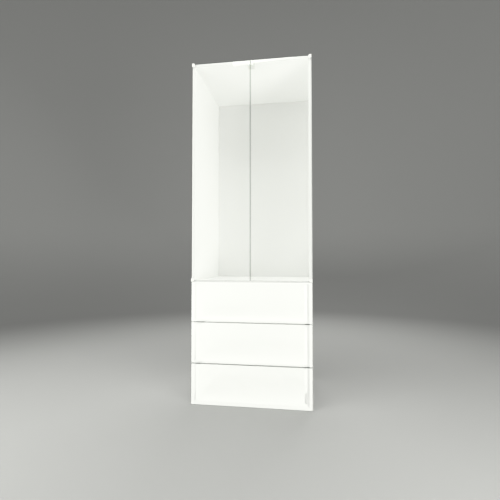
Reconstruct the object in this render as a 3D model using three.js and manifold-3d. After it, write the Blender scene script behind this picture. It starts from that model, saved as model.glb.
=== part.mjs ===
// Tall armoire: a white board carcass, two clear glass doors, and three drawers with opal glass fronts below.
// Millimetres, +Z up. The doors and drawers face -Y. The origin is the centre of the footprint, on the floor.
import * as THREE from "three";
import { ConvexGeometry } from "three/addons/geometries/ConvexGeometry.js";
import { mergeVertices } from "three/addons/utils/BufferGeometryUtils.js";
import Module from "manifold-3d";

const wasm = await Module();
wasm.setup();

// ---- driving dimensions -------------------------------------------------------------------------------
const WIDTH = 700;
const HEIGHT = 2000;
const CARCASS_DEPTH = 600;
const BOARD = 18;
const BACK_BOARD = 4;
const BACK_REBATE = 9; // how far the back panel laps onto each side panel
const BACK_RECESS = 0.5; // back panel in from the rear edges, for its nail heads
const GLASS = 6;
const FRONT_GAP = 4; // air between the glass and the carcass edges
const PLATE_PROUD = 2; // how far the pivot plates reach past the glass
const GLASS_INSET = 2; // outer glass edge to carcass face
const PANE_GAP = 3; // between neighbouring panes
const DRAWER_GAPS = [239, 477]; // centre heights of the gaps between the drawer fronts
const DOOR_GAP = 711; // centre height of the pivot plates between the doors and the top drawer
const SHELF_TOP = 718;

const SIDE_BOARD = 15; // drawer box boards
const RUNNER_ROOM = 13; // between a drawer side and the carcass
const BOX_DEPTH = 510;
const BOX_HEIGHT = 204;
const BOX_UNDERSIDES = { bottom: 22, middle: 253, top: 491 };

const RUNNER_HEIGHT = 35;
const RUNNER_DROP = 3; // runner below the box underside
const RUNNER_LENGTH = 500;
const RAIL_WALL = 1.2;

const PIVOT_INSET = 3; // pivot axis to outer glass edge
const PIVOT_PIN = 4; // diameter
const PLATE = 2; // pivot plate thickness
const CLEAR = 0.3; // working clearance round let-in and sliding pieces
const EASE = 0.5; // chamfer on board edges
const ARRIS = 1.25; // ground chamfer on glass edges

// ---- places worked out from them ----------------------------------------------------------------------
const TOTAL_DEPTH = PLATE_PROUD + GLASS + FRONT_GAP + CARCASS_DEPTH;
const FRONT = -TOTAL_DEPTH / 2;
const GLASS_FACE = FRONT + PLATE_PROUD;
const GLASS_BACK = GLASS_FACE + GLASS;
const GLASS_MIDDLE = GLASS_FACE + GLASS / 2;
const CARCASS_FRONT = GLASS_BACK + FRONT_GAP;
const CARCASS_BACK = TOTAL_DEPTH / 2;
const BACK_FACE = CARCASS_BACK - BACK_RECESS - BACK_BOARD;
const HALF = WIDTH / 2;
const INNER = HALF - BOARD;
const PANE_EDGE = HALF - GLASS_INSET;
const PIVOT_X = PANE_EDGE - PIVOT_INSET;
const BOX_HALF = INNER - RUNNER_ROOM;
const SIDES = { left: -1, right: 1 };

// ---- materials ----------------------------------------------------------------------------------------
const finish = (color, roughness, metalness = 0) =>
  new THREE.MeshStandardMaterial({ color, roughness, metalness });
const carcassWhite = finish(0xf6f7f2, 0.45);
const backWhite = finish(0xe9eae5, 0.6);
const drawerWhite = finish(0xfbfcf8, 0.4);
const whiteSteel = finish(0xf2f2ee, 0.35, 0.2);
const zincSteel = finish(0xc4c7ca, 0.35, 0.9);
const whitePlastic = finish(0xf4f4f0, 0.4);
const glass = (color, opacity) =>
  new THREE.MeshStandardMaterial({ color, roughness: 0.03, transparent: true, opacity });
const clearGlass = glass(0xeef6f2, 0.2);
const opalGlass = glass(0xfdfef9, 0.93);

// ---- helpers ------------------------------------------------------------------------------------------
/** A closed solid for cutting and joining, from a geometry. */
function toSolid(geometry) {
  const bare = geometry.clone();
  bare.deleteAttribute("normal");
  bare.deleteAttribute("uv");
  const merged = mergeVertices(bare);
  return new wasm.Manifold(
    new wasm.Mesh({
      numProp: 3,
      vertProperties: new Float32Array(merged.attributes.position.array),
      triVerts: new Uint32Array(merged.index.array),
    }),
  );
}

/** The geometry of a solid. */
function toGeometry(solid) {
  const mesh = solid.getMesh();
  const geometry = new THREE.BufferGeometry();
  geometry.setAttribute("position", new THREE.BufferAttribute(mesh.vertProperties, 3));
  geometry.setIndex(new THREE.BufferAttribute(mesh.triVerts, 1));
  geometry.computeVertexNormals();
  return geometry;
}

/** What is left of one geometry when the others are cut out of it. */
function cut(geometry, ...tools) {
  const rest = tools.reduce((solid, tool) => solid.subtract(toSolid(tool)), toSolid(geometry));
  return toGeometry(rest);
}

/** Two geometries joined into one. */
function join(first, second) {
  return toGeometry(toSolid(first).add(toSolid(second)));
}

/** A named mesh of a geometry, placed at a point. */
function piece(name, geometry, material, [x, y, z] = [0, 0, 0]) {
  const mesh = new THREE.Mesh(geometry, material);
  mesh.name = name;
  mesh.position.set(x, y, z);
  return mesh;
}

/** The middle of the box between two corners. */
function middle(low, high) {
  return low.map((value, axis) => (value + high[axis]) / 2);
}

/** A box between two corners about its own middle, with every edge chamfered. */
function easedBox(low, high, ease) {
  const half = new THREE.Vector3(...low.map((value, axis) => Math.abs(high[axis] - value) / 2));
  const flat = half.clone().subScalar(ease);
  const ends = [-1, 1];
  const corners = ends.flatMap((x) => ends.flatMap((y) => ends.map((z) => new THREE.Vector3(x, y, z))));
  const points = corners.flatMap((corner) => [
    new THREE.Vector3(half.x, flat.y, flat.z).multiply(corner),
    new THREE.Vector3(flat.x, half.y, flat.z).multiply(corner),
    new THREE.Vector3(flat.x, flat.y, half.z).multiply(corner),
  ]);
  return new ConvexGeometry(points);
}

/** A board or pane between two corners. */
function slab(name, low, high, ease, material) {
  return piece(name, easedBox(low, high, ease), material, middle(low, high));
}

/** A plain box between two corners, where it stands, for cutting with. */
function block(low, high) {
  const size = low.map((value, axis) => Math.abs(high[axis] - value));
  return new THREE.BoxGeometry(...size).translate(...middle(low, high));
}

/** A cylinder along Y or Z about a point, where it stands. */
function rod(diameter, axis, [x, y, z], length, segments = 24) {
  const geometry = new THREE.CylinderGeometry(diameter / 2, diameter / 2, length, segments);
  if (axis === "z") geometry.rotateX(Math.PI / 2);
  return geometry.translate(x, y, z);
}

// ---- carcass ------------------------------------------------------------------------------------------
const PLATE_WIDTH = 13;
const PLATE_TAIL = 38; // length let into the side panel
const PLATE_SCREWS = { diameter: 4, from: [10, 28] }; // holes, behind the carcass front

/** The room that a pivot plate needs in a side panel, from z0 to z1. */
function plateHousing(side, z0, z1) {
  const inner = side * (HALF - PLATE_WIDTH - CLEAR);
  const end = CARCASS_FRONT + PLATE_TAIL + CLEAR;
  return block([side * (HALF + 1), CARCASS_FRONT - 1, z0], [inner, end, z1]);
}

/** A side panel, rebated for the back panel and housed for its two pivot plates. */
function sidePanel(label) {
  const side = SIDES[label];
  const low = [side * HALF, CARCASS_FRONT, 0];
  const high = [side * INNER, CARCASS_BACK, HEIGHT];
  const panel = easedBox(low, high, EASE).translate(...middle(low, high));
  const rebate = block(
    [side * (INNER - 1), BACK_FACE, -1],
    [side * (INNER + BACK_REBATE), CARCASS_BACK + 1, HEIGHT + 1],
  );
  const topHousing = plateHousing(side, HEIGHT - PLATE - CLEAR, HEIGHT + 1);
  const halfRoom = PLATE / 2 + CLEAR;
  const lowHousing = plateHousing(side, DOOR_GAP - halfRoom, DOOR_GAP + halfRoom);
  return piece(`${label}_side_panel`, cut(panel, rebate, topHousing, lowHousing), carcassWhite);
}

/** A board across the carcass, with its underside at z. */
function crossBoard(name, z) {
  const low = [-INNER, CARCASS_FRONT, z];
  return slab(name, low, [INNER, BACK_FACE, z + BOARD], EASE, carcassWhite);
}

/** The board shell that everything else hangs on. */
function carcass() {
  const group = new THREE.Group();
  const backHalf = INNER + BACK_REBATE - EASE;
  const backEdge = 2; // back panel short of the top and bottom
  group.add(
    sidePanel("left"),
    sidePanel("right"),
    crossBoard("top_panel", HEIGHT - BOARD),
    crossBoard("fixed_shelf", SHELF_TOP - BOARD),
    crossBoard("bottom_panel", 0),
    slab(
      "back_panel",
      [-backHalf, BACK_FACE, backEdge],
      [backHalf, BACK_FACE + BACK_BOARD, HEIGHT - backEdge],
      EASE,
      backWhite,
    ),
  );
  return group;
}

// ---- door pivots --------------------------------------------------------------------------------------
const SHOE_WALL = 1.2;
const SHOE_WEB = 2; // shoe thickness under or over the glass edge
const SHOE_SIZE = 16;
const SHOE_CLEAR = 0.15; // glass to shoe, filled with a thin gasket
const PIVOT_CLEAR = 0.5; // shoe to plate
const PIN_PLAY = 0.25; // round a pin in its hole

/** Heights of one pivot: up is +1 at the top of a door and -1 at the bottom. */
function pivotHeights(up) {
  const plateFace = up > 0 ? HEIGHT - PLATE : DOOR_GAP + PLATE / 2;
  const shoeFace = plateFace - up * PIVOT_CLEAR;
  return { plateFace, shoeFace, glassEdge: shoeFace - up * (SHOE_WEB + SHOE_CLEAR) };
}

/** A pivot plate with a round nose: it reaches forward over or under the glass corner. */
function pivotPlate(label, level, up) {
  const side = SIDES[label];
  const nose = 3;
  const inner = HALF - PLATE_WIDTH;
  const tail = CARCASS_FRONT + PLATE_TAIL;
  const outline = new THREE.Shape();
  outline.moveTo(side * inner, tail);
  outline.lineTo(side * inner, FRONT + nose);
  outline.quadraticCurveTo(side * inner, FRONT, side * (inner + nose), FRONT);
  outline.lineTo(side * (HALF - nose), FRONT);
  outline.quadraticCurveTo(side * HALF, FRONT, side * HALF, FRONT + nose);
  outline.lineTo(side * HALF, tail);
  outline.closePath();
  const hole = (x, y, diameter) => {
    const ring = new THREE.Path();
    ring.absarc(side * x, y, diameter / 2, 0, 2 * Math.PI);
    outline.holes.push(ring);
  };
  hole(PIVOT_X, GLASS_MIDDLE, PIVOT_PIN + 2 * PIN_PLAY);
  for (const from of PLATE_SCREWS.from) {
    hole(HALF - PLATE_WIDTH / 2, CARCASS_FRONT + from, PLATE_SCREWS.diameter);
  }
  const settings = { depth: PLATE, bevelEnabled: false, curveSegments: 8 };
  const geometry = new THREE.ExtrudeGeometry(outline, settings);
  const { plateFace } = pivotHeights(up);
  const base = up > 0 ? plateFace : plateFace - PLATE;
  return piece(`${label}_${level}_pivot_plate`, geometry, whiteSteel, [0, 0, base]);
}

/** A shoe clamped on a glass corner, with the pin that turns in the plate. */
function pivotShoe(label, level, up) {
  const side = SIDES[label];
  const { shoeFace, glassEdge } = pivotHeights(up);
  const outer = PANE_EDGE + SHOE_CLEAR + SHOE_WALL;
  const reach = GLASS / 2 + SHOE_CLEAR + SHOE_WALL;
  const body = block(
    [side * outer, GLASS_MIDDLE - reach, shoeFace],
    [side * (outer - SHOE_SIZE), GLASS_MIDDLE + reach, shoeFace - up * SHOE_SIZE],
  );
  const slot = block(
    [side * (PANE_EDGE + SHOE_CLEAR), GLASS_MIDDLE - GLASS / 2 - SHOE_CLEAR, glassEdge + up * SHOE_CLEAR],
    [side * (outer - SHOE_SIZE - 1), GLASS_MIDDLE + GLASS / 2 + SHOE_CLEAR, shoeFace - up * (SHOE_SIZE + 1)],
  );
  const short = 0.2; // pin end below the plate's far face
  const pinLength = PLATE + PIVOT_CLEAR - short;
  const sunk = 1; // pin root inside the shoe's web
  const pinMiddle = shoeFace + (up * (pinLength - sunk)) / 2;
  const pin = rod(PIVOT_PIN, "z", [side * PIVOT_X, GLASS_MIDDLE, pinMiddle], pinLength + sunk);
  return piece(`${label}_door_${level}_shoe`, join(cut(body, slot), pin), whiteSteel);
}

// ---- door latch ---------------------------------------------------------------------------------------
const PLUNGER = 8; // diameter
const PLUNGER_LENGTH = 38;
const PLUNGER_X = 11;
const STRIKE = { diameter: 14, thickness: 1 };
const LATCH_FRONT = CARCASS_FRONT + 2;
const LATCH_DEPTH = 52;
const LATCH_BORE = 45;
const LATCH_HALF = 19;
const LATCH_HEIGHT = 13;
const LATCH_Z = HEIGHT - BOARD - LATCH_HEIGHT / 2;

/** The twin magnetic push latch under the top panel. */
function latchHousing() {
  const low = [-LATCH_HALF, LATCH_FRONT, LATCH_Z - LATCH_HEIGHT / 2];
  const high = [LATCH_HALF, LATCH_FRONT + LATCH_DEPTH, LATCH_Z + LATCH_HEIGHT / 2];
  const body = easedBox(low, high, EASE).translate(...middle(low, high));
  const mouth = 1; // bore cutter ahead of the housing's face
  const boreMiddle = LATCH_FRONT + (LATCH_BORE - mouth) / 2;
  const bores = Object.values(SIDES).map((side) =>
    rod(PLUNGER + 2 * CLEAR, "y", [side * PLUNGER_X, boreMiddle, LATCH_Z], LATCH_BORE + mouth),
  );
  return piece("door_latch_housing", cut(body, ...bores), whitePlastic);
}

/** A sprung plunger, its tip just clear of the strike plate on the closed door. */
function latchPlunger(label) {
  const tip = GLASS_BACK + STRIKE.thickness + CLEAR;
  const at = [SIDES[label] * PLUNGER_X, tip + PLUNGER_LENGTH / 2, LATCH_Z];
  return piece(`${label}_latch_plunger`, rod(PLUNGER, "y", [0, 0, 0], PLUNGER_LENGTH), whitePlastic, at);
}

/** The steel disc bonded to the back of a door for the magnet. */
function strikePlate(label) {
  const at = [SIDES[label] * PLUNGER_X, GLASS_BACK + STRIKE.thickness / 2, LATCH_Z];
  const disc = rod(STRIKE.diameter, "y", [0, 0, 0], STRIKE.thickness);
  return piece(`${label}_strike_plate`, disc, whiteSteel, at);
}

// ---- doors --------------------------------------------------------------------------------------------
/** One glass door with its shoes and strike plate, and the two fixed plates that it turns in. */
function door(label) {
  const side = SIDES[label];
  const group = new THREE.Group();
  const low = [side * PANE_EDGE, GLASS_FACE, pivotHeights(-1).glassEdge];
  const high = [(side * PANE_GAP) / 2, GLASS_BACK, pivotHeights(1).glassEdge];
  group.add(
    slab(`${label}_door_glass`, low, high, ARRIS, clearGlass),
    pivotShoe(label, "top", 1),
    pivotShoe(label, "bottom", -1),
    pivotPlate(label, "top", 1),
    pivotPlate(label, "bottom", -1),
    strikePlate(label),
    latchPlunger(label),
  );
  return group;
}

// ---- runners ------------------------------------------------------------------------------------------
const RUNNER_SETBACK = 4; // rail ends behind the carcass front
const BALL_ROOM = 1.8; // between the lips of nested rails
const RAIL_LIPS = { cabinet: 9.5, middle: 9.2, drawer: 8.5 }; // web face to lip edge
const MIDDLE_WEB_GAP = 0.6; // between the webs of the cabinet and middle rails

/** A channel's cross-section: a web with two lips, its corners bent to a small radius. */
function channelShape(web, lip, height, wall) {
  const into = Math.sign(lip - web);
  const half = height / 2;
  const bend = 1.5;
  const inner = bend - wall / 2;
  const face = web + into * wall;
  const shape = new THREE.Shape();
  shape.moveTo(lip, half);
  shape.lineTo(web + into * bend, half);
  shape.quadraticCurveTo(web, half, web, half - bend);
  shape.lineTo(web, bend - half);
  shape.quadraticCurveTo(web, -half, web + into * bend, -half);
  shape.lineTo(lip, -half);
  shape.lineTo(lip, wall - half);
  shape.lineTo(face + into * inner, wall - half);
  shape.quadraticCurveTo(face, wall - half, face, wall + inner - half);
  shape.lineTo(face, half - wall - inner);
  shape.quadraticCurveTo(face, half - wall, face + into * inner, half - wall);
  shape.lineTo(lip, half - wall);
  shape.closePath();
  return shape;
}

/** A rail along Y: its section runs from the web to the lips, and y is its front end. */
function rail(name, { web, lip, height }, side, y, length, z) {
  const shape = channelShape(side * web, side * lip, height, RAIL_WALL);
  const settings = { depth: length, bevelEnabled: false, curveSegments: 3 };
  const geometry = new THREE.ExtrudeGeometry(shape, settings).rotateX(Math.PI / 2);
  return piece(name, geometry, zincSteel, [0, y + length, z]);
}

/** The three nested rails of one ball-bearing runner. */
function runner(label, sideLabel) {
  const side = SIDES[sideLabel];
  const z = RUNNER_HEIGHT / 2 - RUNNER_DROP;
  const start = CARCASS_FRONT + RUNNER_SETBACK;
  const nesting = 2 * (RAIL_WALL + BALL_ROOM);
  const middleWeb = INNER - RAIL_WALL - MIDDLE_WEB_GAP;
  const sections = {
    cabinet: { web: INNER, lip: INNER - RAIL_LIPS.cabinet, height: RUNNER_HEIGHT },
    middle: { web: middleWeb, lip: middleWeb - RAIL_LIPS.middle, height: RUNNER_HEIGHT - nesting },
    drawer: { web: BOX_HALF, lip: BOX_HALF + RAIL_LIPS.drawer, height: RUNNER_HEIGHT - 2 * nesting },
  };
  const setback = { cabinet: 0, middle: 2, drawer: 0 }; // front end behind the cabinet rail's
  const shorter = { cabinet: 0, middle: 20, drawer: 4 }; // than the cabinet rail
  return Object.entries(sections).map(([member, section]) => {
    const length = RUNNER_LENGTH - shorter[member];
    return rail(`${label}_${sideLabel}_${member}_rail`, section, side, start + setback[member], length, z);
  });
}

// ---- drawers ------------------------------------------------------------------------------------------
const BRACKET = { leg: 16, wall: 1.5, height: 24 };

/** A small steel angle that ties the glass front to a drawer side. */
function frontBracket(label, sideLabel) {
  const side = SIDES[sideLabel];
  const corner = side * (BOX_HALF - SIDE_BOARD);
  const { leg, wall, height } = BRACKET;
  const outline = new THREE.Shape();
  outline.moveTo(corner, GLASS_BACK);
  outline.lineTo(corner - side * leg, GLASS_BACK);
  outline.lineTo(corner - side * leg, GLASS_BACK + wall);
  outline.lineTo(corner - side * wall, GLASS_BACK + wall);
  outline.lineTo(corner - side * wall, GLASS_BACK + leg);
  outline.lineTo(corner, GLASS_BACK + leg);
  outline.closePath();
  const geometry = new THREE.ExtrudeGeometry(outline, { depth: height, bevelEnabled: false });
  const at = [0, 0, BOX_HEIGHT - 2 * height];
  return piece(`${label}_drawer_${sideLabel}_bracket`, geometry, whiteSteel, at);
}

/** The board box of a drawer, its underside at z = 0, open at the top and closed in front by the glass. */
function drawerBox(label) {
  const inside = BOX_HALF - SIDE_BOARD;
  const back = GLASS_BACK + BOX_DEPTH;
  const board = (name, low, high) => slab(`${label}_drawer_${name}`, low, high, EASE, drawerWhite);
  return [
    board("bottom", [-BOX_HALF, GLASS_BACK, 0], [BOX_HALF, back, SIDE_BOARD]),
    board("left_side", [-BOX_HALF, GLASS_BACK, SIDE_BOARD], [-inside, back, BOX_HEIGHT]),
    board("right_side", [inside, GLASS_BACK, SIDE_BOARD], [BOX_HALF, back, BOX_HEIGHT]),
    board("back", [-inside, back - SIDE_BOARD, SIDE_BOARD], [inside, back, BOX_HEIGHT]),
  ];
}

/** A drawer's opal glass front, from one height to another above the box underside. */
function drawerFront(label, bottom, top) {
  const low = [-PANE_EDGE, GLASS_FACE, bottom];
  return slab(`${label}_drawer_glass_front`, low, [PANE_EDGE, GLASS_BACK, top], ARRIS, opalGlass);
}

/** One drawer on its pair of runners. */
function drawer(label, frontBottom, frontTop) {
  const underside = BOX_UNDERSIDES[label];
  const group = new THREE.Group();
  group.position.z = underside;
  group.add(drawerFront(label, frontBottom - underside, frontTop - underside), ...drawerBox(label));
  for (const sideLabel of Object.keys(SIDES)) {
    group.add(frontBracket(label, sideLabel), ...runner(label, sideLabel));
  }
  return group;
}

// ---- assembly -----------------------------------------------------------------------------------------
const armoire = new THREE.Group();
const [lowGap, highGap] = DRAWER_GAPS;
const frontTop = DOOR_GAP - PLATE / 2 - PIVOT_CLEAR;
armoire.add(
  carcass(),
  latchHousing(),
  door("left"),
  door("right"),
  drawer("top", highGap + PANE_GAP / 2, frontTop),
  drawer("middle", lowGap + PANE_GAP / 2, highGap - PANE_GAP / 2),
  drawer("bottom", GLASS_INSET, lowGap - PANE_GAP / 2),
);

export default armoire;
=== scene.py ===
import math

import bmesh
import bpy
from mathutils import Matrix, Vector
from mathutils.geometry import tessellate_polygon


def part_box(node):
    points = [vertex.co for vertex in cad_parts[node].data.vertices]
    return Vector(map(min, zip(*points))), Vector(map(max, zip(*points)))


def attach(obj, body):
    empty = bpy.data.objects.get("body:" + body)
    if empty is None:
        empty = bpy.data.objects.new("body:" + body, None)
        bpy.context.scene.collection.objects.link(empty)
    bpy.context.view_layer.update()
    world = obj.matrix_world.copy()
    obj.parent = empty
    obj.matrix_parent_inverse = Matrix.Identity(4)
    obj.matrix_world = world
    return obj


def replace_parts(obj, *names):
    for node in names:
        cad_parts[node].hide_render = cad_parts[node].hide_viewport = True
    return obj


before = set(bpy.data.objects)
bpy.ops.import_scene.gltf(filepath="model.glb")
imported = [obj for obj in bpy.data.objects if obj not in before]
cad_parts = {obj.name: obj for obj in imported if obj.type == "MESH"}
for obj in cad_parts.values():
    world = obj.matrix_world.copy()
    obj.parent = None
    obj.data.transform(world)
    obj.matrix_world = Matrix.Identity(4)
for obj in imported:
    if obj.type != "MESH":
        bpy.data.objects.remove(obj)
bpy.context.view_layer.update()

# Looks of a tall white armoire with glass doors and glass drawer fronts. Metres, in the frame of the model.

MM = 0.001
SIDES = {"left": -1, "right": 1}
LEVELS = ("top", "bottom")
DRAWERS = ("bottom", "middle", "top")


# ---- shader nodes -------------------------------------------------------------------------------------
class Shader:
    """A material's nodes, each made by one short call that returns its output."""

    def __init__(self, name):
        self.material = bpy.data.materials.new(name)
        self.material.use_nodes = True
        self.tree = self.material.node_tree
        self.tree.nodes.clear()
        self.place = self.node("ShaderNodeTexCoord").outputs["Object"]

    def node(self, kind, settings=None, inputs=None):
        """A node with its settings, and its inputs set to values or linked to outputs."""
        made = self.tree.nodes.new(kind)
        for name, value in (settings or {}).items():
            setattr(made, name, value)
        for name, value in (inputs or {}).items():
            socket = made.inputs[name]
            if isinstance(value, bpy.types.NodeSocket):
                self.tree.links.new(value, socket)
            else:
                socket.default_value = value
        return made

    def math(self, operation, a, b=0.0, clamp=False):
        """The result of one operation on two values."""
        settings = {"operation": operation, "use_clamp": clamp}
        return self.node("ShaderNodeMath", settings, {0: a, 1: b}).outputs[0]

    def axis(self, letter, vector=None):
        """One coordinate of a vector, by default of the place on the surface."""
        split = self.node("ShaderNodeSeparateXYZ", None, {0: vector or self.place})
        return split.outputs[letter]

    def stretched(self, x, y, z):
        """The place on the surface, scaled along each axis."""
        return self.node("ShaderNodeMapping", None, {"Vector": self.place, "Scale": (x, y, z)}).outputs[0]

    def noise(self, size, detail=2.0, vector=None):
        """Soft noise from 0 to 1, with features of that size in metres."""
        inputs = {"Vector": vector or self.place, "Scale": 1 / size, "Detail": detail}
        return self.node("ShaderNodeTexNoise", None, inputs).outputs["Fac"]

    def cells(self, size):
        """A pattern of cells of that size in metres."""
        inputs = {"Vector": self.place, "Scale": 1 / size}
        return self.node("ShaderNodeTexVoronoi", {"feature": "F1"}, inputs).outputs["Distance"]

    def between(self, value, low, high):
        """Maps 0..1 onto low..high."""
        return self.node("ShaderNodeMapRange", None, {0: value, 3: low, 4: high}).outputs[0]

    def line(self, coordinate, at, width):
        """1 in a line across a coordinate and 0 beside it."""
        away = self.math("ABSOLUTE", self.math("SUBTRACT", coordinate, at))
        return self.math("SUBTRACT", 1.0, self.math("DIVIDE", away, width), clamp=True)

    def mixed(self, share, first, second):
        """A colour between two colours."""
        factor, colour_a, colour_b, colour_out = 0, 6, 7, 2  # places of the colour sockets on a mix node
        inputs = {factor: share, colour_a: first, colour_b: second}
        return self.node("ShaderNodeMix", {"data_type": "RGBA"}, inputs).outputs[colour_out]

    def bump(self, height, distance, normal=None):
        """A normal bent by a height from 0 to 1, which stands for that distance in metres."""
        inputs = {"Height": height, "Distance": distance, "Strength": 1.0}
        if normal is not None:
            inputs["Normal"] = normal
        return self.node("ShaderNodeBump", None, inputs).outputs[0]

    def shaders(self, share, first, second):
        """A mix of two shaders."""
        return self.node("ShaderNodeMixShader", None, {0: share, 1: first, 2: second}).outputs[0]

    def see_through(self, colour):
        """A shader that tints what is behind it and bends nothing."""
        return self.node("ShaderNodeBsdfTransparent", None, {"Color": colour}).outputs[0]

    def lighting_ray(self):
        """1 for a ray that carries light to a lit surface, and 0 for one that shows what is seen."""
        path = self.node("ShaderNodeLightPath").outputs
        return self.math("MAXIMUM", path["Is Shadow Ray"], path["Is Diffuse Ray"])

    def principled(self, **inputs):
        """A Principled shader: its sockets are named in lower case, with _ for a space."""
        named = {key.replace("_", " ").title().replace("Ior", "IOR"): value for key, value in inputs.items()}
        return self.node("ShaderNodeBsdfPrincipled", None, named).outputs[0]

    def finished(self, surface):
        """The material, with this shader as its surface."""
        output = self.node("ShaderNodeOutputMaterial")
        self.tree.links.new(surface, output.inputs["Surface"])
        return self.material


def grey(level, warmth=0.0):
    """A nearly neutral colour: warmth takes a little blue away."""
    return (level, level + warmth * 0.1, level - warmth, 1.0)


# ---- materials ----------------------------------------------------------------------------------------
def board(name, level, roughness, letter, joint_at, band_side):
    """Melamine-faced board: a pearl emboss, a slow drift of tone, and an edge band with its joint line; the
    band is painted a third darker than the faces, as painted shade on the board edges.

    letter and joint_at place the joint, and the band lies on the band_side (-1 or 1) of it."""
    s = Shader(name)
    drift = s.noise(0.35, 1.0)
    mottle = s.noise(1.6 * MM, 3.0)
    pearl = s.cells(0.9 * MM)
    tone = s.math("ADD", s.between(drift, 0.0, 0.6), s.between(mottle, 0.0, 0.4))
    colour = s.mixed(tone, grey(level - 0.012, 0.008), grey(level + 0.008, 0.004))
    height = s.math("ADD", s.between(pearl, 0.0, 0.7), s.between(mottle, 0.0, 0.3))
    across = s.axis(letter)
    joint_width = 0.14 * MM
    joint = s.line(across, joint_at, joint_width)
    beyond = s.math("MULTIPLY", s.math("SUBTRACT", across, joint_at), band_side)
    in_band = s.math("GREATER_THAN", beyond, 0.0)
    shaded_band_darkest, shaded_band_lightest = 0.68 * level, 0.72 * level  # painted shade: the band is a third darker than the faces, so the board edges read as shaded
    band = s.mixed(drift, grey(shaded_band_darkest, 0.008), grey(shaded_band_lightest, 0.004))
    colour = s.mixed(in_band, colour, band)
    colour = s.mixed(s.math("MULTIPLY", joint, 0.35), colour, grey(0.45, 0.03))
    height = s.math("SUBTRACT", height, s.math("MULTIPLY", joint, 2.0))
    sheen = s.math("ADD", s.between(mottle, roughness - 0.04, roughness + 0.04), s.between(drift, 0.0, 0.03))
    waves = s.bump(s.noise(0.03, 1.0), 0.05 * MM)
    normal = s.bump(height, 0.02 * MM, normal=waves)
    surface = s.principled(base_color=colour, roughness=sheen, normal=normal)
    return s.finished(surface)


def hardboard(name, level):
    """The thin lacquered back panel: a roller-coated face with a faint streak down it."""
    s = Shader(name)
    streak = s.noise(4 * MM, 2.0, s.stretched(1.0, 1.0, 0.04))
    grain = s.noise(0.8 * MM, 3.0)
    tone = s.math("ADD", s.between(streak, 0.0, 0.7), s.between(grain, 0.0, 0.3))
    colour = s.mixed(tone, grey(level - 0.012, 0.008), grey(level + 0.008, 0.004))
    normal = s.bump(tone, 0.03 * MM)
    surface = s.principled(base_color=colour, roughness=s.between(grain, 0.5, 0.62), normal=normal)
    return s.finished(surface)


def pane_edge(s):
    """1 on the ground edges and arrises of a pane that faces along its own Y, and 0 on its two faces."""
    in_world = s.node("ShaderNodeNewGeometry").outputs["True Normal"]
    own = {"vector_type": "NORMAL", "convert_from": "WORLD", "convert_to": "OBJECT"}
    normal = s.node("ShaderNodeVectorTransform", own, {0: in_world}).outputs[0]
    flat_on = 0.9  # a pane's two faces have more than this of their normal along Y
    return s.math("LESS_THAN", s.math("ABSOLUTE", s.axis("Y", normal)), flat_on)


def shaded_ground_edge(s):
    """The look of a ground edge: the green tint is the glass's own, and it is made near black as painted
    shade, so the gaps between the glass fronts read as dark lines.
    """
    grind = s.noise(0.5 * MM, 3.0)
    return s.principled(
        base_color=s.mixed(grind, (0.018, 0.026, 0.022, 1.0), (0.04, 0.052, 0.046, 1.0)),
        roughness=s.between(grind, 0.62, 0.78),
        specular_ior_level=0.12,
        normal=s.bump(grind, 0.02 * MM),
    )


def clear_glass(name):
    """Clear float glass with ground edges: light from lamps and lit surfaces passes straight through."""
    s = Shader(name)
    clear = s.principled(
        base_color=(0.995, 0.997, 0.996, 1.0),
        roughness=0.0,
        ior=1.5,
        transmission_weight=1.0,
        normal=s.bump(s.noise(0.09, 0.5), 0.02 * MM),
    )
    seen = s.shaders(pane_edge(s), clear, shaded_ground_edge(s))
    light_tint = (0.98, 0.985, 0.982, 1.0)
    return s.finished(s.shaders(s.lighting_ray(), seen, s.see_through(light_tint)))


def opal_glass(name):
    """Thinly milk-white glass with a polished face, through which most of what is behind it shows."""
    s = Shader(name)
    milk = s.principled(
        base_color=s.mixed(s.noise(0.12, 2.0), grey(0.925, 0.006), grey(0.935, 0.002)),
        roughness=0.06,
        ior=1.5,
        normal=s.bump(s.noise(0.09, 0.5), 0.02 * MM),
    )
    seen_through = 0.64
    face = s.shaders(seen_through, milk, s.see_through(grey(1.0)))
    seen = s.shaders(pane_edge(s), face, shaded_ground_edge(s))
    light_tint = (0.94, 0.945, 0.94, 1.0)
    return s.finished(s.shaders(s.lighting_ray(), seen, s.see_through(light_tint)))


def powder_coat(name):
    """White powder coat on steel, with its orange peel."""
    s = Shader(name)
    peel = s.noise(1.1 * MM, 1.0)
    fine = s.noise(0.2 * MM, 2.0)
    colour = s.mixed(peel, grey(0.70, 0.02), grey(0.74, 0.015))
    normal = s.bump(fine, 0.004 * MM, normal=s.bump(peel, 0.03 * MM))
    surface = s.principled(base_color=colour, roughness=s.between(fine, 0.3, 0.4), normal=normal)
    return s.finished(surface)


def zinc(name):
    """Bright zinc-plated steel strip, with the mill's rolling lines along Y."""
    s = Shader(name)
    rolled = s.noise(0.35 * MM, 3.0, s.stretched(1.0, 0.02, 1.0))
    clouds = s.noise(6 * MM, 3.0)
    colour = s.mixed(clouds, (0.60, 0.62, 0.64, 1.0), (0.72, 0.73, 0.74, 1.0))
    roughness = s.math("ADD", s.between(rolled, 0.18, 0.3), s.between(clouds, 0.0, 0.1))
    normal = s.bump(rolled, 0.006 * MM)
    surface = s.principled(base_color=colour, metallic=1.0, roughness=roughness, normal=normal)
    return s.finished(surface)


def nylon(name):
    """White moulded nylon with a fine spark-eroded texture."""
    s = Shader(name)
    spark = s.noise(0.25 * MM, 3.0)
    flow = s.noise(12 * MM, 1.0)
    colour = s.mixed(flow, grey(0.71, 0.03), grey(0.75, 0.02))
    normal = s.bump(spark, 0.012 * MM)
    sheen = s.between(spark, 0.38, 0.5)
    surface = s.principled(base_color=colour, roughness=sheen, subsurface_weight=0.1, normal=normal)
    return s.finished(surface)


BAND = 0.8 * MM  # thickness of an edge band
CARCASS_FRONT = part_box("bottom_panel")[0].y

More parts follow.
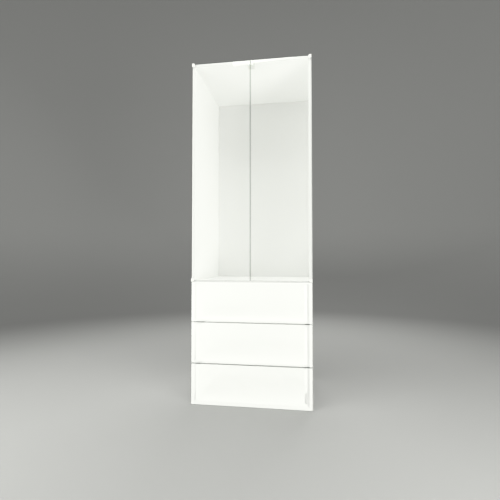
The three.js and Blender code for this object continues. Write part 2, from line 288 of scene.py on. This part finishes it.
materials = {
    "carcass_board": board(
        "carcass_board_looks",
        level=0.90,
        roughness=0.36,
        letter="Y",
        joint_at=CARCASS_FRONT + BAND,
        band_side=-1,
    ),
    # the back panel is greyer than the carcass boards: partly its own colour, partly painted shade for the
    # back of the deep cupboard
    "back_board": hardboard("back_board_looks", 0.74),
    "clear_glass": clear_glass("clear_glass_looks"),
    "opal_glass": opal_glass("opal_glass_looks"),
    "white_steel": powder_coat("white_steel_looks"),
    "zinc_steel": zinc("zinc_steel_looks"),
    "white_plastic": nylon("white_plastic_looks"),
}


def dress_nodes():
    """Gives each node of the model the material of its slot."""
    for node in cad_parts.values():
        slot_name = node.material_slots[0].material.name
        if slot_name != "drawer_board":
            node.material_slots[0].material = materials[slot_name]
    for label in DRAWERS:
        joint_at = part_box(f"{label}_drawer_back")[1].z - BAND
        name = f"{label}_drawer_board_looks"
        # the drawer boards are whiter than the carcass boards: partly their own colour, partly painted light
        # that brightens the insides of the drawers
        looks = board(name, level=0.93, roughness=0.32, letter="Z", joint_at=joint_at, band_side=1)
        for part in ("bottom", "left_side", "right_side", "back"):
            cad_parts[f"{label}_drawer_{part}"].material_slots[0].material = looks


dress_nodes()

SAME_PLACE = 0.01 * MM  # corners closer than this are one corner
SHARP_BEND = math.radians(40)  # an edge that bends more than this is rounded


def soften(name, width):
    """Rounds the sharp edges of a small fitting."""
    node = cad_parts[name]
    weld = node.modifiers.new("joined_corners", "WELD")
    weld.merge_threshold = SAME_PLACE
    edges = node.modifiers.new("soft_edges", "BEVEL")
    edges.width = width
    edges.segments = 2
    edges.limit_method = "ANGLE"
    edges.angle_limit = SHARP_BEND
    edges.harden_normals = True


def soften_fittings():
    """Rounds the edges of the door and drawer fittings, each by its own width."""
    strike_plate, shoe, pivot_plate, bracket, rail = 0.25 * MM, 0.35 * MM, 0.3 * MM, 0.3 * MM, 0.25 * MM
    for label in SIDES:
        soften(f"{label}_strike_plate", strike_plate)
        for level in LEVELS:
            soften(f"{label}_door_{level}_shoe", shoe)
            soften(f"{label}_{level}_pivot_plate", pivot_plate)
        for drawer in DRAWERS:
            soften(f"{drawer}_drawer_{label}_bracket", bracket)
            for member in ("cabinet", "middle", "drawer"):
                soften(f"{drawer}_{label}_{member}_rail", rail)


soften_fittings()


# ---- turned pieces ------------------------------------------------------------------------------------
def around(count):
    """The angles of equal steps round a circle."""
    return [2 * math.pi * step / count for step in range(count)]


def cross(reach, arm):
    """The corners of a cross recess, going round."""
    quarter = [(reach, -arm), (reach, arm), (arm, arm)]
    corners = []
    for _ in range(4):
        corners += quarter
        quarter = [(-y, x) for x, y in quarter]
    return corners


def hexagon(reach):
    """The corners of a hexagon socket."""
    return [(reach * math.cos(angle), reach * math.sin(angle)) for angle in around(6)]


def wall_between(work, low, high):
    """Faces between two rings of vertices; a ring of one vertex is a point."""
    count = max(len(low), len(high))
    for step in range(count):
        after = (step + 1) % count
        foot = [low[step % len(low)], low[after % len(low)]]
        top = [high[after % len(high)], high[step % len(high)]]
        work.faces.new(list(dict.fromkeys(foot + top)))


def sink_recess(work, rim, corners, depth):
    """Closes the flat top inside rim, with a tapered recess of that outline in its middle."""
    top = rim[0].co.z
    narrowing = 0.7
    mouth = [work.verts.new((x, y, top)) for x, y in corners]
    foot = [work.verts.new((narrowing * x, narrowing * y, top - depth)) for x, y in corners]
    points = [*rim, *mouth]
    for triangle in tessellate_polygon([[vert.co for vert in loop] for loop in (rim, mouth)]):
        work.faces.new([points[index] for index in triangle])
    wall_between(work, mouth, foot)
    work.faces.new(foot)


def turn(work, profile, segments, recess):
    """Adds one solid of revolution about Z: profile is (radius, height) from its foot up."""
    rings = []
    for radius, height in profile:
        angles = around(segments) if radius else [0.0]
        rings.append([work.verts.new((radius * math.cos(a), radius * math.sin(a), height)) for a in angles])
    for low, high in zip(rings, rings[1:]):
        wall_between(work, low, high)
    if recess:
        sink_recess(work, rings[-1], *recess)


def object_from(name, work):
    """An object with the mesh, shaded smooth except at its sharp corners."""
    sharp_angle = math.radians(35)
    bmesh.ops.recalc_face_normals(work, faces=work.faces)
    mesh = bpy.data.meshes.new(name)
    work.to_mesh(mesh)
    work.free()
    mesh.shade_smooth()
    mesh.set_sharp_from_angle(angle=sharp_angle)
    made = bpy.data.objects.new(name, mesh)
    bpy.context.scene.collection.objects.link(made)
    return made


def turned(name, profile, places=((0.0, 0.0, 0.0),), facing=(0, 0, 1), recess=None, segments=24):
    """Equal turned parts in one object, one at each place, with their tops towards facing."""
    work = bmesh.new()
    tilt = Vector(facing).to_track_quat("Z", "Y").to_matrix().to_4x4()
    for place in places:
        first = len(work.verts)
        turn(work, profile, segments, recess)
        work.verts.ensure_lookup_table()
        bmesh.ops.transform(work, matrix=Matrix.Translation(place) @ tilt, verts=work.verts[first:])
    return object_from(name, work)


def fitted(made, slot_name, body):
    """Gives a new piece its material and lets it ride on a body."""
    made.data.materials.append(materials[slot_name])
    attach(made, body)
    return made


# ---- fixings ------------------------------------------------------------------------------------------
def pan_head(radius, height):
    """The profile of a domed screw head that stands on z = 0, up to the rim of its flat crown."""
    return [
        (0.0, 0.0),
        (radius, 0.0),
        (radius, 0.35 * height),
        (0.93 * radius, 0.7 * height),
        (0.78 * radius, 0.93 * height),
        (0.62 * radius, height),
    ]


def flush_head(radius, proud, sunk):
    """The profile of a countersunk head that stands proud of z = 0 by a little, down to its sunk foot."""
    return [
        (0.0, -sunk),
        (0.6 * radius, -sunk),
        (radius, 0.0),
        (radius, 0.4 * proud),
        (0.94 * radius, proud),
    ]


def plate_screws():
    """Two countersunk screws in each top pivot plate, level with its face."""
    from_front, below_top = (22 * MM, 40 * MM), 0.3 * MM
    profile = flush_head(radius=1.85 * MM, proud=0.15 * MM, sunk=1.2 * MM)
    recess = (cross(reach=1.1 * MM, arm=0.3 * MM), 0.8 * MM)
    for label in SIDES:
        low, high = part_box(f"{label}_top_pivot_plate")
        middle = (low.x + high.x) / 2
        places = [(middle, low.y + along, high.z - below_top) for along in from_front]
        screws = turned(f"{label}_top_plate_screws", profile, places, recess=recess)
        fitted(screws, "zinc_steel", "cabinet")


def shoe_screws():
    """The socket set screw that clamps each shoe on its glass, in the shoe's back wall."""
    profile = flush_head(radius=2.0 * MM, proud=0.2 * MM, sunk=0.8 * MM)
    socket = (hexagon(reach=1.1 * MM), 0.9 * MM)
    for label in SIDES:
        for level in LEVELS:
            low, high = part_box(f"{label}_door_{level}_shoe")
            middle = (low + high) / 2
            place = (middle.x, high.y, middle.z)
            screw = turned(f"{label}_{level}_shoe_screw", profile, [place], (0, 1, 0), socket)
            fitted(screw, "zinc_steel", f"{label}_door")


def latch_screws():
    """Two screws up through the latch into the top panel."""
    low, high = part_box("door_latch_housing")
    from_ends = 9 * MM
    places = [(0.0, y, low.z) for y in (low.y + from_ends, high.y - from_ends)]
    profile = flush_head(radius=2.6 * MM, proud=0.3 * MM, sunk=1.0 * MM)
    recess = (cross(reach=1.6 * MM, arm=0.4 * MM), 0.9 * MM)
    screws = turned("door_latch_screws", profile, places, (0, 0, -1), recess)
    fitted(screws, "zinc_steel", "cabinet")


def bracket_screws(label, side_label):
    """Two domed screws through the bracket into the drawer side."""
    side = SIDES[side_label]
    low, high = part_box(f"{label}_drawer_{side_label}_bracket")
    wall, from_glass, from_ends = 1.5 * MM, 10.5 * MM, 6 * MM
    face = side * (max(abs(low.x), abs(high.x)) - wall)
    places = [(face, low.y + from_glass, z) for z in (low.z + from_ends, high.z - from_ends)]
    name = f"{label}_{side_label}_bracket_screws"
    profile = pan_head(radius=2.8 * MM, height=1.9 * MM)
    recess = (cross(reach=1.5 * MM, arm=0.35 * MM), 1.2 * MM)
    screws = turned(name, profile, places, (-side, 0, 0), recess)
    fitted(screws, "zinc_steel", f"{label}_drawer")


RAIL_SCREW_SHARES = (0.05, 0.5, 0.93)  # places of screws along a rail
RAIL_WALL = 1.2 * MM


def rail_screws(label, side_label):
    """Three screws that hold a rail on the drawer side, and three that hold one on the cabinet's side."""
    side = SIDES[side_label]
    for member, body in (("drawer", f"{label}_drawer"), ("cabinet", "cabinet")):
        low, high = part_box(f"{label}_{side_label}_{member}_rail")
        height = (low.z + high.z) / 2
        near, far = sorted((abs(low.x), abs(high.x)))
        spread = [low.y + share * (high.y - low.y) for share in RAIL_SCREW_SHARES]
        if member == "drawer":
            face, outward = near + RAIL_WALL, side
            profile = pan_head(radius=3.2 * MM, height=1.8 * MM)
        else:
            face, outward = far - RAIL_WALL, -side
            profile = flush_head(radius=3.2 * MM, proud=0.25 * MM, sunk=0.8 * MM)
        places = [(side * face, y, height) for y in spread]
        name = f"{label}_{side_label}_{member}_rail_screws"
        recess = (cross(reach=1.6 * MM, arm=0.4 * MM), 0.9 * MM)
        fitted(turned(name, profile, places, (outward, 0, 0), recess), "zinc_steel", body)


def rounded_strip(work, low, high):
    """Adds a thin strip in the XY plane with rounded ends."""
    half = (high.x - low.x) / 2
    middle = (low.x + high.x) / 2
    steps = 8
    outline = []
    for centre, start in ((high.y - half, 0.0), (low.y + half, math.pi)):
        for step in range(steps + 1):
            angle = start + math.pi * step / steps
            outline.append((middle + half * math.cos(angle), centre + half * math.sin(angle)))
    rings = [[work.verts.new((x, y, z)) for x, y in outline] for z in (low.z, high.z)]
    wall_between(work, *rings)
    for ring in rings:
        work.faces.new(ring)


BALL_RADIUS = 0.85 * MM
BALL_PITCH = 16 * MM
CAGE_WIDTH = 4.6 * MM
CAGE_LENGTH = 240 * MM
CAGE_THICKNESS = 0.5 * MM


def caged_balls(work, x, start, z):
    """Adds one flat strip along Y, in the middle of its balls."""
    low = Vector((x - CAGE_WIDTH / 2, start, z - CAGE_THICKNESS / 2))
    rounded_strip(work, low, low + Vector((CAGE_WIDTH, CAGE_LENGTH, CAGE_THICKNESS)))
    for number in range(1, int(CAGE_LENGTH / BALL_PITCH)):
        at = Matrix.Translation((x, start + number * BALL_PITCH, z))
        bmesh.ops.create_uvsphere(work, u_segments=12, v_segments=8, radius=BALL_RADIUS, matrix=at)


def ball_cages(label, side_label):
    """The strips that keep the balls apart: one pair in the cabinet rail and one in the middle rail."""
    side = SIDES[side_label]
    middle_rail = f"{label}_{side_label}_middle_rail"
    rest_low, rest_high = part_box(middle_rail)
    from_rail_end, from_rail_back = 2 * MM, 0.8 * MM
    outer_start = rest_high.y - CAGE_LENGTH - from_rail_end
    inner_start = rest_low.y + from_rail_end
    pairs = {
        "outer": (f"{label}_{side_label}_cabinet_rail", middle_rail, outer_start),
        "inner": (middle_rail, f"{label}_{side_label}_drawer_rail", inner_start),
    }
    for where, (around_rail, inside_rail, start) in pairs.items():
        outer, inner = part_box(around_rail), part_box(inside_rail)
        shared_low = max(min(abs(box[0].x), abs(box[1].x)) for box in (outer, inner))
        x = side * (shared_low + from_rail_back + CAGE_WIDTH / 2)
        work = bmesh.new()
        for z in ((outer[1].z - RAIL_WALL + inner[1].z) / 2, (outer[0].z + RAIL_WALL + inner[0].z) / 2):
            caged_balls(work, x, start, z)
        cage = object_from(f"{label}_{side_label}_{where}_ball_cage", work)
        fitted(cage, "zinc_steel", f"{label}_middle_rails")


def back_nails():
    """Flat-headed nails round the back panel and along the shelf, each over a board's edge."""
    low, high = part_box("back_panel")
    shelf_low, shelf_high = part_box("fixed_shelf")
    side_inset, end_inset, pitch = 4 * MM, 7 * MM, 125 * MM
    proud = 0.35 * MM
    rows = round((high.z - low.z) / pitch)
    heights = [low.z + end_inset + (high.z - low.z - 2 * end_inset) * row / rows for row in range(rows + 1)]
    places = [(side * (high.x - side_inset), high.y, z) for side in SIDES.values() for z in heights]
    columns = round((high.x - low.x) / pitch)
    spread = [low.x + (high.x - low.x) * (column + 0.5) / columns for column in range(columns)]
    levels = (heights[0], (shelf_low.z + shelf_high.z) / 2, heights[-1])
    places += [(x, high.y, z) for z in levels for x in spread]
    radius, sunk = 2.2 * MM, 0.5 * MM
    profile = [(0.0, -sunk), (radius, -sunk), (radius, 0.5 * proud), (0.8 * radius, proud), (0.0, proud)]
    fitted(turned("back_panel_nails", profile, places, (0, 1, 0), segments=16), "zinc_steel", "cabinet")


def plungers():
    """The latch's sprung pins: a nylon barrel with a rounded rim, and a steel-capped magnet in its tip."""
    for label in SIDES:
        low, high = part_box(f"{label}_latch_plunger")
        radius, length = (high.x - low.x) / 2, high.y - low.y
        rim, magnet, depth = 0.8 * MM, 2.6 * MM, 0.4 * MM
        tip = ((low.x + high.x) / 2, low.y, (low.z + high.z) / 2)
        barrel = [
            (0.0, -length),
            (radius, -length),
            (radius, -rim),
            (radius - 0.3 * rim, -0.3 * rim),
            (radius - rim, 0.0),
            (magnet, 0.0),
            (magnet, -depth),
            (0.0, -depth),
        ]
        cap = [(0.0, -depth), (magnet - 0.1 * MM, -depth), (magnet - 0.1 * MM, -0.2 * MM), (0.0, -0.1 * MM)]
        made = turned(f"{label}_plunger_barrel", barrel, [tip], (0, -1, 0), segments=32)
        body = f"{label}_plunger"
        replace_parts(fitted(made, "white_plastic", body), f"{label}_latch_plunger")
        fitted(turned(f"{label}_plunger_magnet", cap, [tip], (0, -1, 0)), "zinc_steel", body)


def fixings():
    """Every small piece that the model of the armoire leaves out."""
    plate_screws()
    shoe_screws()
    latch_screws()
    for label in DRAWERS:
        for side_label in SIDES:
            bracket_screws(label, side_label)
            rail_screws(label, side_label)
            ball_cages(label, side_label)
    back_nails()
    plungers()


fixings()


# ---- studio -------------------------------------------------------------------------------------------
LIT_POOL_RADIUS = 1.6  # the painted pool of light on the floor is evenly pale up to here
FLOOR_RADIUS = 4.2
COVE_RADIUS = 1.6
BACKDROP_HEIGHT = 9.0


def plain_surface(name, lit_middle_level, shaded_rim_level, wall_level):
    """A matt, faintly uneven studio surface with a painted pool of light: pale in the middle and darker
    towards the rim, and a darker grey up the wall.
    """
    s = Shader(name)
    out = s.node("ShaderNodeVectorMath", {"operation": "LENGTH"}, {0: s.place}).outputs["Value"]
    drift = s.between(s.noise(0.8, 2.0), -0.03, 0.03)
    value, low_end, high_end = 0, 1, 2  # places of the sockets on a range node
    smooth = {"interpolation_type": "SMOOTHSTEP"}
    # painted light: the floor fades from a pale pool in the middle to darker at its rim
    reach = {value: out, low_end: LIT_POOL_RADIUS, high_end: FLOOR_RADIUS}
    spread = s.node("ShaderNodeMapRange", smooth, reach).outputs[0]
    climb = {value: s.axis("Z"), high_end: COVE_RADIUS}
    rise = s.node("ShaderNodeMapRange", smooth, climb).outputs[0]
    floor = s.mixed(s.math("ADD", spread, drift, clamp=True), grey(lit_middle_level), grey(shaded_rim_level))
    colour = s.mixed(s.math("ADD", rise, drift, clamp=True), floor, grey(wall_level))
    return s.finished(s.principled(base_color=colour, roughness=0.9, specular_ior_level=0.1))


def backdrop_profile():
    """From the foot of the backdrop, up a quarter round, the wall and in over the top."""
    steps = 16
    angles = [math.pi / 2 * step / steps for step in range(steps + 1)]
    cove = [(FLOOR_RADIUS + COVE_RADIUS * math.sin(a), COVE_RADIUS * (1 - math.cos(a))) for a in angles]
    return [*cove, (FLOOR_RADIUS + COVE_RADIUS, BACKDROP_HEIGHT), (0.0, BACKDROP_HEIGHT + COVE_RADIUS)]


# Each softbox: place, point it faces, side of its square, watts.
SOFTBOXES = {
    "low_right_light": ((1.8, -2.2, 0.5), (-0.2, 0.0, 1.9), 1.2, 52),
    "low_left_light": ((-1.6, -2.4, 0.5), (0.1, 0.0, 1.9), 1.2, 24),
    "left_front_light": ((-2.6, -3.2, 1.8), (0.0, 0.0, 0.9), 2.4, 41),
    "far_left_light": ((-3.4, -1.9, 1.3), (0.0, 0.0, 1.3), 2.4, 84),
    "far_right_light": ((3.4, -1.9, 1.3), (0.0, 0.0, 1.3), 2.4, 25),
    "high_front_light": ((0.2, -1.5, 3.4), (0.0, 0.0, 0.8), 1.6, 40),
    "high_back_light": ((0.4, 3.6, 3.2), (0.0, 0.3, 1.0), 2.4, 70),
}
AIR_LIGHT = 0.42  # brightness of the plain white light from all round


def softbox(name, place, target, size, power):
    """A square area light at place, facing target."""
    lamp = bpy.data.lights.new(name, "AREA")
    lamp.shape = "SQUARE"
    lamp.size = size
    lamp.energy = power
    made = bpy.data.objects.new(name, lamp)
    made.location = place
    made.rotation_euler = (Vector(target) - Vector(place)).to_track_quat("-Z", "Y").to_euler()
    bpy.context.scene.collection.objects.link(made)


def air():
    """Plain white light from all round."""
    world = bpy.data.worlds.new("studio_air")
    world.use_nodes = True
    background = world.node_tree.nodes["Background"]
    background.inputs["Color"].default_value = grey(1.0)
    background.inputs["Strength"].default_value = AIR_LIGHT
    bpy.context.scene.world = world


def studio():
    """A round pale floor, a plain backdrop that lets the studio's light through, and the softboxes."""
    looks = plain_surface("studio_looks", lit_middle_level=0.41, shaded_rim_level=0.25, wall_level=0.35)
    floor = turned("studio_floor", [(0.0, 0.0), (FLOOR_RADIUS, 0.0)], segments=96)
    backdrop = turned("studio_backdrop", backdrop_profile(), segments=96)
    for stage in (floor, backdrop):
        stage.data.materials.append(looks)
    backdrop.visible_shadow = False
    backdrop.visible_diffuse = False
    backdrop.visible_glossy = False
    air()
    for name, settings in SOFTBOXES.items():
        softbox(name, *settings)


def camera():
    """The camera stands in front of the right edge at chest height, turned to the left and a little up."""
    lens, heading, tilt = 28.07, 0.1563, 0.0308  # millimetres, and radians to the left and upwards
    place = Vector((0.3448, -2.5025, 0.8238))
    data = bpy.data.cameras.new("camera")
    data.lens = lens
    data.sensor_width = 36.0
    made = bpy.data.objects.new("camera", data)
    made.location = place
    made.rotation_euler = (math.pi / 2 + tilt, 0.0, heading)
    bpy.context.scene.collection.objects.link(made)
    bpy.context.scene.camera = made


def film(start=0.6, brightest=1.3, tint=(0.991, 1.0, 0.957), steps=12):
    """Plain tones up to start, then a knee that rolls off evenly to white at brightest, and a faint tint."""
    view = bpy.context.scene.view_settings
    view.view_transform = "Standard"
    view.use_curve_mapping = True
    mapping = view.curve_mapping
    mapping.white_level = (brightest, brightest, brightest)
    rise = brightest - start
    last_slope = 2 * (1 - start) / rise - 1
    for channel, share in enumerate(tint):
        curve = mapping.curves[channel]
        curve.points[-1].location.y = share
        for step in range(steps):
            along = step / steps
            shown = start + rise * (along - (1 - last_slope) * along**2 / 2)
            curve.points.new((start + rise * along) / brightest, share * shown)
        for point in curve.points:
            point.handle_type = "VECTOR"
    mapping.update()


def light_paths():
    """Enough bounces for light to fill a deep white cupboard."""
    cycles = bpy.context.scene.cycles
    cycles.max_bounces = 16
    cycles.diffuse_bounces = 12


studio()
camera()
film()
light_paths()
